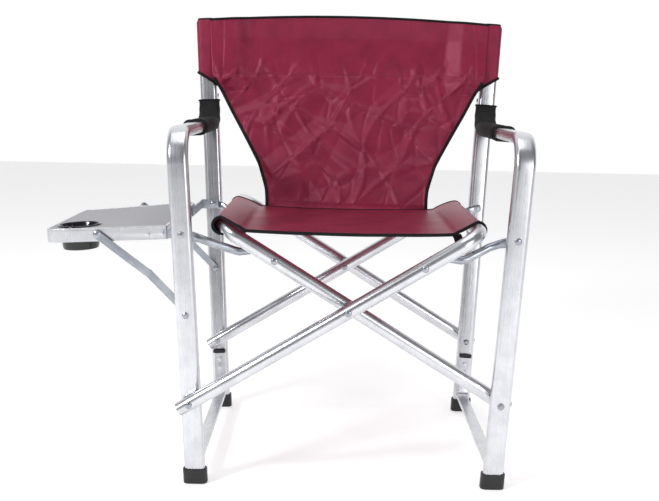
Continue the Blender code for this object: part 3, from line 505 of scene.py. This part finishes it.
def softened(node_name, body, finish, slot, edge, angle=40):
    """The built shape with its doubles merged, its flat faces joined and its sharp edges rounded."""
    mesh = frame["nodes"][node_name].data.copy()
    bm = bmesh.new()
    bm.from_mesh(mesh)
    bmesh.ops.remove_doubles(bm, verts=bm.verts, dist=DOUBLES)
    bmesh.ops.dissolve_limit(bm, angle_limit=NEARLY_FLAT, verts=bm.verts, edges=bm.edges)
    bm.to_mesh(mesh)
    bm.free()
    piece = bpy.data.objects.new(f"{node_name}_finished", mesh)
    bpy.context.scene.collection.objects.link(piece)
    mesh.shade_smooth()
    mesh.set_sharp_from_angle(angle=math.radians(angle))
    if edge:
        rounding = piece.modifiers.new("soft_edges", "BEVEL")
        rounding.width, rounding.segments = edge, 3
        rounding.limit_method, rounding.angle_limit = "ANGLE", math.radians(angle)
        rounding.harden_normals = True
    return placed(piece, body, finish, slot, node_name)


for side, tag in SIDES:
    for part in ("front_foot_cap", "rear_foot_cap", "post_cap", "rear_leg_cap", "foot_rail_plug"):
        softened(f"{tag}_{part}", f"{tag}_frame", BLACK_CAP, "black_plastic", 0.0012)
    softened(f"{tag}_foot_rail", f"{tag}_frame", SATIN_PLAIN, "aluminium_tube", 0.0005, 30)
    for place in ("front", "rear"):
        softened(f"{tag}_{place}_link", f"{tag}_links", ZINC, "zinc_steel", 0.0)
softened("right_rear_foot_pivot", "right_frame", ZINC, "zinc_steel", 0.0)
for place in ("front", "rear"):
    softened(f"{place}_upper_brace", "upper_braces", ZINC, "zinc_steel", 0.0005)
    softened(f"{place}_lower_brace", "lower_braces", ZINC, "zinc_steel", 0.0005)
    softened(f"{place}_brace_pivot", "left_frame", ZINC, "zinc_steel", 0.0)
    softened(f"table_{place}_bracket", "side_table", ZINC, "zinc_steel", 0.0004)
softened("table_brace_rod", "side_table", ZINC, "zinc_steel", 0.0)


# ---- Side table -----------------------------------------------------------
# A pressed aluminium tray: matt grey laminate lies inside a bright rim, and the skirt hides the brace
# rod. A gloss black moulded cup holder drops through the front outer corner.
LAMINATE, nodes, links, shader = principled("grey_laminate", (0.33, 0.33, 0.36), 0.55)
speckle = grain(nodes, links, "Object", (1, 1, 1), 1400.0, 2.0)
tint = ramp(nodes, links, speckle.outputs["Fac"], (0.30, 0.30, 0.33), (0.40, 0.40, 0.43))
links.new(tint.outputs["Color"], shader.inputs["Base Color"])
bumped(nodes, links, shader, speckle.outputs["Fac"], 0.15, 0.0002)
GLOSS = moulded("gloss_black", (0.008, 0.008, 0.009), 0.14, 60.0, 0.00005)

softened("table_skirt", "side_table", SATIN_PLAIN, "aluminium_tube", 0.0004, 35)
tray = softened("table_tray", "side_table", SATIN_PLAIN, "table_top", 0.0007, 35)
tray.data.materials.append(LAMINATE)
TRAY_TOP, RIM_STEP = 0.0135, 0.0006
CUP_X, CUP_Y, CUP_R, CUP_SIDES = -0.190, 0.0700, 0.0335, 64
LIP_R, LIP_OUT, LIP_SUNK = 0.0024, 0.0022, 0.0009
normal = Vector((-math.sin(LEAN), 0, math.cos(LEAN)))
hinge = Vector(HINGE[-1])
for face in tray.data.polygons:
    height = (face.center - hinge).dot(normal)
    if face.normal.dot(normal) > 0.9 and height < TRAY_TOP - RIM_STEP:
        face.material_index = 1

# the cup's profile goes up its inside from the middle of the floor, over the rolled lip and down outside
t = np.linspace(0, math.pi, 9)
cup_top = TRAY_TOP - LIP_SUNK
lip = np.stack([CUP_R + LIP_OUT + LIP_R * np.cos(math.pi - t), cup_top + LIP_R * np.sin(t)], -1)
inside = [(ON_AXIS, cup_top - 0.0385), (0.020, cup_top - 0.0385), (CUP_R - 0.0050, cup_top - 0.0378),
          (CUP_R - 0.0034, cup_top - 0.0350), (CUP_R - 0.0018, cup_top - 0.002)]
outside = [(CUP_R + 0.0046, cup_top - 0.0001), (CUP_R + 0.0002, cup_top - 0.0001),
           (CUP_R - 0.0016, cup_top - 0.036), (CUP_R - 0.0034, cup_top - 0.0405),
           (CUP_R - 0.0065, cup_top - 0.0415), (ON_AXIS, cup_top - 0.0415)]
profile = np.concatenate([inside, lip, outside])
angle = np.linspace(0, 2 * math.pi, CUP_SIDES, endpoint=False)
r, h = profile[:, :1], np.repeat(profile[:, 1:], CUP_SIDES, 1)
grid = np.stack([CUP_X + r * np.cos(angle), CUP_Y + r * np.sin(angle), h], -1)
placed(surface("gloss_cup_holder", on_side(-1, grid), True, True), "side_table", GLOSS, "black_gloss",
       "cup_holder")


# ---- Arm sleeves ----------------------------------------------------------
# Black foam-backed sleeves pulled over the rear of each arm and up round the bend, stitched underneath,
# with a rolled edge at both ends.
BAND_GAP = 0.3142        # metres between the bands of a wave texture whose scale is 1


def woven(name, colour, deep, roughness, pitch, gloss, bump=0.00012):
    """Plain weave on the UV map in metres: two waves of the thread pitch multiplied, with a mottle."""
    made, nodes, links, shader = principled(name, colour, roughness, Specular_IOR_Level=gloss)
    where = node(nodes, "ShaderNodeTexCoord")
    threads = []
    for direction in ("X", "Y"):
        wave = node(nodes, "ShaderNodeTexWave", Scale=BAND_GAP / pitch)
        wave.bands_direction = direction
        links.new(where.outputs["UV"], wave.inputs["Vector"])
        threads.append(wave.outputs["Fac"])
    cloth = node(nodes, "ShaderNodeMath", operation="MULTIPLY")
    links.new(threads[0], cloth.inputs[0])
    links.new(threads[1], cloth.inputs[1])
    mottle = grain(nodes, links, "Object", (1, 1, 1), 26.0, 4.0)
    tint = ramp(nodes, links, mottle.outputs["Fac"], deep, colour, 0.30, 0.66)
    links.new(tint.outputs["Color"], shader.inputs["Base Color"])
    bumped(nodes, links, shader, cloth.outputs["Value"], 0.5, bump)
    return made


FOAM = woven("foam_sleeve_cloth", (0.020, 0.020, 0.021), (0.010, 0.010, 0.011), 0.80, 0.0011, 0.25)
EDGE = woven("black_binding_tape", (0.008, 0.008, 0.009), (0.004, 0.004, 0.005), 0.8, 0.0009, 0.25)
SLEEVE_START, SLEEVE_RISE = 0.231, 0.049
FOAM_T, FOAM_CORNER = 0.0085, 0.0125
ROLL_T, ROLL_CORNER, ROLL_R = 0.0078, 0.0120, 0.0016
for side, tag in SIDES:
    path = bend_path([(0, SLEEVE_START, ARM_H), (0, POST_Y, ARM_H),
                      (0, POST_Y + SLEEVE_RISE * math.tan(RECLINE), ARM_H + SLEEVE_RISE)],
                     (REAR_BEND_R,), steps=30, straight=40)
    run = lengths(path[:, None], 0)
    along = run / run[-1]
    outline = oval(TUBE_W + FOAM_T, TUBE_T + FOAM_T, FOAM_CORNER)
    # the foam swells and sinks a little along the arm, and is drawn in at both ends
    swell = 0.0007 * np.sin(along * 61) * np.sin(along * 17)
    pinch = 0.0012 * (1 - np.minimum(along, 1 - along) * 18).clip(0)
    flow = 1 + ((swell - pinch) / 0.02)[:, None, None]
    grid = on_side(side, carry(outline * flow, path, (1, 0, 0)))
    piece = placed(surface(f"{tag}_foam_sleeve", grid, True, True), f"{tag}_frame", FOAM, "arm_foam",
                   f"{tag}_arm_sleeve")
    rolls = on_side(side, carry(oval(TUBE_W + ROLL_T, TUBE_T + ROLL_T, ROLL_CORNER, 10), path, (1, 0, 0)))
    for end, at in (("front", 1), ("rear", -2)):
        ring = np.concatenate([rolls[at], rolls[at][:1]])
        placed(round_tube(f"{tag}_sleeve_{end}_roll", ring, ROLL_R, 10, False), f"{tag}_frame", EDGE,
               "arm_foam")
    # the seam underneath the arm is two close rows of stitches, drawn as one fine raised cord
    seam = np.stack([np.zeros(60), np.linspace(SLEEVE_START + 0.004, POST_Y - 0.06, 60),
                     np.full(60, ARM_H - TUBE_T / 2 - 0.0042)], -1)
    placed(round_tube(f"{tag}_sleeve_seam", on_side(side, seam), 0.0009, 8), f"{tag}_frame", EDGE,
           "arm_foam")


# ---- Seat cloth -----------------------------------------------------------
# Burgundy coated nylon in one width: each side is turned round its rail and sewn down as a sleeve, and
# black tape binds the front and rear edges. The sleeves slope down to the sheet, which lies nearly flat.
NYLON = woven("burgundy_nylon", (0.245, 0.016, 0.046), (0.185, 0.011, 0.034), 0.36, 0.0006, 0.60)
NYLON.node_tree.nodes["Principled BSDF"].inputs["Specular Tint"].default_value = (1, 0.42, 0.58, 1)
SLEEVE_R, CLOTH_T = CROSS_R + 0.0016, 0.0009
SEAT_FRONT, SEAT_REAR, CORNER_CUT = 0.004, 0.366, 0.030
DIP, DIP_WIDTH, SAG = 0.0165, 0.046, 0.0045


def scattered(rng, x, y, cells, stretch, angle):
    """The sheet's plane turned by the angle and shrunk along u, with points drawn at random in it."""
    c, s = math.cos(angle), math.sin(angle)
    u, v = (x * c + y * s) / stretch, -x * s + y * c
    return u, v, rng.uniform(u.min(), u.max(), cells), rng.uniform(v.min(), v.max(), cells)


def crumple(x, y, seed, cells, stretch, angle):
    """Folds of a creased sheet: the least squared distance to scattered points, over the mean area of a
    point's cell. It is smooth in each cell and sharp along the lines between them."""
    u, v, pu, pv = scattered(np.random.default_rng(seed), x, y, cells, stretch, angle)
    least = np.full(u.shape, np.inf)
    for k in range(cells):
        least = np.minimum(least, (u - pu[k]) ** 2 + (v - pv[k]) ** 2)
    size = (np.ptp(u) * np.ptp(v)) / cells
    return least / size


def creases(x, y, seed, cells, stretch, angle, width):
    """Ridges where two scattered points are equally near: exp(-((second - nearest) / width) squared),
    each faded by a random weight of the nearest point."""
    rng = np.random.default_rng(seed)
    u, v, pu, pv = scattered(rng, x, y, cells, stretch, angle)
    away = np.sqrt((u[..., None] - pu) ** 2 + (v[..., None] - pv) ** 2)
    order = np.argpartition(away, 1, axis=-1)[..., :2]
    near = np.take_along_axis(away, order, -1)
    weight = rng.uniform(0.1, 1.0, cells)[order].mean(-1)
    return weight * np.exp(-((near[..., 1] - near[..., 0]) / width) ** 2)


ANGLES = np.linspace(-0.65 * math.pi, math.pi / 2, 22)
wrap = np.stack([-RAIL_X - SLEEVE_R * np.cos(ANGLES), RAIL_Z + SLEEVE_R * np.sin(ANGLES)], -1)[:-1]
half_x = np.linspace(-RAIL_X, RAIL_X, 121)
slope = np.clip((RAIL_X - np.abs(half_x)) / DIP_WIDTH, 0, 1)
flat_z = RAIL_Z + SLEEVE_R - DIP * slope ** 1.4 - SAG * (1 - (half_x / RAIL_X) ** 2)
section = np.concatenate([wrap, np.stack([half_x, flat_z], -1), (wrap * (-1, 1))[::-1]])
depth = np.linspace(SEAT_FRONT, SEAT_REAR, 100)
sx = np.repeat(section[None, :, 0], len(depth), 0)
sz = np.repeat(section[None, :, 1], len(depth), 0)
sy = np.repeat(depth[:, None], len(section), 1)
# the front corners are cut back round the bends of the rails
cut = CORNER_CUT * np.clip((np.abs(sx) - (RAIL_X - CORNER_CUT)) / CORNER_CUT, 0, 1) ** 1.5
sy = sy + cut * (1 - (sy - SEAT_FRONT) / (SEAT_REAR - SEAT_FRONT))
# soft folds that die out towards the rails, and a stitched line where each sleeve is sewn down
inner = np.clip(1 - (np.abs(sx) / (RAIL_X - 0.02)) ** 6, 0, 1)
sz = sz + inner * (0.0020 * crumple(sx, sy, 5, 26, 2.6, 0.35) - 0.0013)
seam = np.exp(-((np.abs(sx) - (RAIL_X - DIP_WIDTH + 0.004)) / 0.0020) ** 2)
sz = sz - 0.0014 * seam * (section[None, :, 1] > RAIL_Z - 0.005)
grid = np.stack([MIDDLE_X + sx, FRONT_Y + sy, sz], -1)
seat = surface("seat_cloth", grid, angle=60)
solid = seat.modifiers.new("cloth_thickness", "SOLIDIFY")
solid.thickness, solid.offset = CLOTH_T, 0


def across_seat(piece, finish, slot, *nodes):
    """Gives a piece its finish, hides the nodes that it stands for, if any, and bakes its place into its
    mesh; the slot is not used.
    """
    piece.data.materials.clear()
    piece.data.materials.append(finish)
    if nodes:
        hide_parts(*nodes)
    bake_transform(piece)


def tape(name, line, radius):
    """Edge binding: a round cord of the radius carried along the edge of the cloth."""
    return round_tube(name, line, radius, 12)


edges = [tape("seat_front_binding", grid[0], 0.0030), tape("seat_rear_binding", grid[-1], 0.0018)]
for piece in edges:
    across_seat(piece, EDGE, "black_webbing")
across_seat(seat, NYLON, "nylon_cloth", "seat_fabric")


# ---- Back cloth -----------------------------------------------------------
# The same nylon, cut wide between the posts and narrowing below the arms, where it runs down and
# forward to the seat. It is full of diagonal creases below the top band, which is sewn double.
BACK_TOP, BACK_LOW, CROWN = 0.8300, 0.4360, 0.0120
HEM_Z, HEM_SEAM, SIDE_SEAM, SEAM_W = 0.7080, 0.010, 0.268, 0.0016
ARM_LEVEL, SET_BACK, FORWARD, FORWARD_FROM, FORWARD_OVER = 0.6123, 0.014, 0.098, 0.80, 0.34
ONTO_POCKET, FOLD_GAIN = 0.0142, 1.15
LEVELS = np.array([0.830, 0.775, 0.716, 0.708, 0.679, 0.640, 0.597, 0.560, 0.534, 0.485, 0.462])
WIDTHS = np.array([0.2960, 0.2930, 0.2890, 0.2830, 0.2660, 0.2445, 0.2190, 0.1975, 0.1830, 0.1665, 0.1640])


def back_sheet(rows=190, columns=230):
    """Rows from top to bottom: x is the half width of the cut times t from -1 to 1. The sheet follows
    the posts' recline, comes forward below as a power of the height, and is set back in the middle
    by (1 - t squared). Two layers of folds and three of ridges, faded at the bands and the edges, and
    the raised seams are added along y. The top edge is crowned by (1 - t squared)."""
    z = np.linspace(BACK_TOP, BACK_LOW, rows)
    half = np.interp(z, LEVELS[::-1], WIDTHS[::-1])
    kernel = np.exp(-np.linspace(-2, 2, 13) ** 2)
    padded_half = np.pad(half, 6, mode="edge")
    smooth_half = np.convolve(padded_half, kernel / kernel.sum(), "valid")
    half = np.where(z > HEM_Z + 0.006, half, smooth_half)
    t = np.linspace(-1, 1, columns)
    x = half[:, None] * t
    zz = np.repeat(z[:, None], columns, 1)
    down = np.clip((FORWARD_FROM - zz) / FORWARD_OVER, 0, None)
    y = POST_Y + (zz - ARM_LEVEL) * math.tan(RECLINE) - FORWARD * down ** 1.6
    y = np.maximum(y, SEAT_REAR + 0.0030)
    y = y + SET_BACK * (1 - t ** 2) * np.clip((BACK_TOP - zz) / 0.06 + 0.35, 0, 1)
    calm = np.clip((HEM_Z + 0.052 - zz) / 0.05, 0.12, 1) * np.clip((zz - BACK_LOW) / 0.03, 0.15, 1)
    edge = np.clip((1 - np.abs(t)) / 0.05, 0, 1)
    folds = 0.0050 * crumple(x, zz, 11, 34, 2.8, 0.75) + 0.0044 * crumple(x, zz, 23, 30, 3.0, -0.80)
    bent_x, bent_z = x + 0.010 * np.sin(31 * zz + 1), zz + 0.008 * np.sin(27 * x + 2)
    folds = folds - 0.0046 * creases(bent_x, bent_z, 41, 40, 2.2, 0.95, 0.0090)
    folds = folds - 0.0040 * creases(bent_x, bent_z, 57, 34, 2.4, -0.85, 0.0085)
    folds = folds + 0.0024 * creases(bent_x, bent_z, 73, 60, 1.5, 1.50, 0.0060)
    y = y + calm * edge * (folds - 0.002) * FOLD_GAIN
    seam = np.exp(-((zz - (HEM_Z + HEM_SEAM)) / SEAM_W) ** 2)
    seam = seam + np.exp(-((np.abs(x) - SIDE_SEAM) / SEAM_W) ** 2) * (zz > HEM_Z)
    # the sides come forward to lie on the front of the post pockets, where they are sewn
    near = np.clip((np.abs(x) - (half[:, None] - 0.088)) / 0.040, 0, 1)
    high = np.clip((zz - 0.682) / 0.026, 0, 1)
    y = y + 0.0016 * seam - ONTO_POCKET * near ** 2 * (3 - 2 * near) * high
    zz = zz + CROWN * (1 - t ** 2) * np.clip((zz - HEM_Z) / (BACK_TOP - HEM_Z), 0, 1) ** 1.5
    return np.stack([MIDDLE_X + x, FRONT_Y + y, zz], -1)


grid = back_sheet()
back = surface("back_cloth", grid[:, ::-1], angle=60)
solid = back.modifiers.new("cloth_thickness", "SOLIDIFY")
solid.thickness, solid.offset = CLOTH_T, 0


def between_posts(piece, finish, slot, *nodes):
    """Places a piece on the left frame with its finish, and gives it a mesh of its own."""
    placed(piece, "left_frame", finish, slot, *nodes)
    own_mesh(piece)


lower = grid[grid[:, 0, 2] < HEM_Z + 0.002]
trims = [tape("back_left_binding", lower[:, 0], 0.0034), tape("back_right_binding", lower[:, -1], 0.0034),
         tape("back_top_binding", grid[0], 0.0026), tape("back_bottom_binding", grid[-1], 0.0018)]
for piece in trims:
    between_posts(piece, EDGE, "black_webbing")
between_posts(back, NYLON, "nylon_cloth", "back_panel")


# ---- Back sleeves ---------------------------------------------------------
# Each side of the back ends in a pocket of the same nylon that slips down over its post. A black hem
# rings the open lower end, and the top is turned in, sewn shut and bound.
POCKET_LOW, POCKET_T = 0.268, 0.0008
pocket_top = POST_TOP + 0.0105
for side, tag in SIDES:
    z = np.linspace(POCKET_LOW, pocket_top, 70)
    path = np.stack([z * 0, POST_Y + (z - ARM_H) * math.tan(RECLINE), z], -1)
    outline = oval(TUBE_W + 0.0040, TUBE_T + 0.0060, 0.0100, 10)
    share = (z - z[0]) / (z[-1] - z[0])
    around = np.cos(np.arange(len(outline)) / 3)[:, None]
    wave = 1 + 0.012 * np.sin(share * 23 + side)[:, None, None] * around
    close = 1 - 0.22 * np.clip((share - 0.93) / 0.07, 0, 1)[:, None, None] ** 2
    local = carry(outline * wave * close, path, (1, 0, 0))
    # the lower end is cut on a slant, lower on the inner side, to run on into the back's side curve
    local[..., 2] -= (0.002 + 0.012 * local[..., 0] / (TUBE_W / 2)) * ((1 - share) ** 4)[:, None]
    grid = on_side(side, local)
    pocket = surface(f"{tag}_back_pocket", grid, True, False)
    bm = bmesh.new()
    bm.from_mesh(pocket.data)
    bmesh.ops.contextual_create(bm, geom=[e for e in bm.edges if e.is_boundary and
                                          sum(v.co.z for v in e.verts) / 2 > BACK_TOP - 0.02])
    bmesh.ops.recalc_face_normals(bm, faces=bm.faces)
    bm.to_mesh(pocket.data)
    bm.free()
    solid = pocket.modifiers.new("cloth_thickness", "SOLIDIFY")
    solid.thickness, solid.offset = POCKET_T, -1
    placed(pocket, f"{tag}_frame", NYLON, "nylon_cloth", f"{tag}_back_sleeve")
    ring = np.concatenate([grid[0], grid[0][:1]])
    hem = placed(round_tube(f"{tag}_pocket_hem", ring, 0.0030, 10, False), f"{tag}_frame", EDGE,
                 "black_webbing")
    rim = np.concatenate([grid[-1], grid[-1][:1]])
    cap = placed(round_tube(f"{tag}_pocket_rim", rim, 0.0018, 10, False), f"{tag}_frame", EDGE,
                 "black_webbing")


# ---- Seat straps ----------------------------------------------------------
# Short black webbing straps, sewn on under the seat's front corners, hang down close by the front links.
# Each bows outward a little and narrows towards its lower end.
STRAP_HALF, STRAP_T, STRAP_BOW = 0.009, 0.0013, 0.006
for side, tag in SIDES:
    low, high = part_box(f"{tag}_seat_strap")
    middle = (low + high) / 2
    t = np.linspace(0, 1, 24)
    line = np.stack([middle.x + side * STRAP_BOW * np.sin(t * math.pi), middle.y + 0.002 * np.sin(t * 5),
                     high.z + 0.003 + (low.z - high.z - 0.003) * t], -1)
    wide = np.linspace(-STRAP_HALF, STRAP_HALF, 7)
    taper = 1 - 0.35 * t
    grid = line[:, None] + np.stack([wide, wide * 0.15, wide * 0], -1)[None] * taper[:, None, None]
    strap = surface(f"{tag}_webbing_strap", grid)
    solid = strap.modifiers.new("webbing_thickness", "SOLIDIFY")
    solid.thickness, solid.offset = STRAP_T, 0
    placed(strap, "right_foot_cross" if side < 0 else "left_foot_cross", EDGE, "black_webbing",
           f"{tag}_seat_strap")
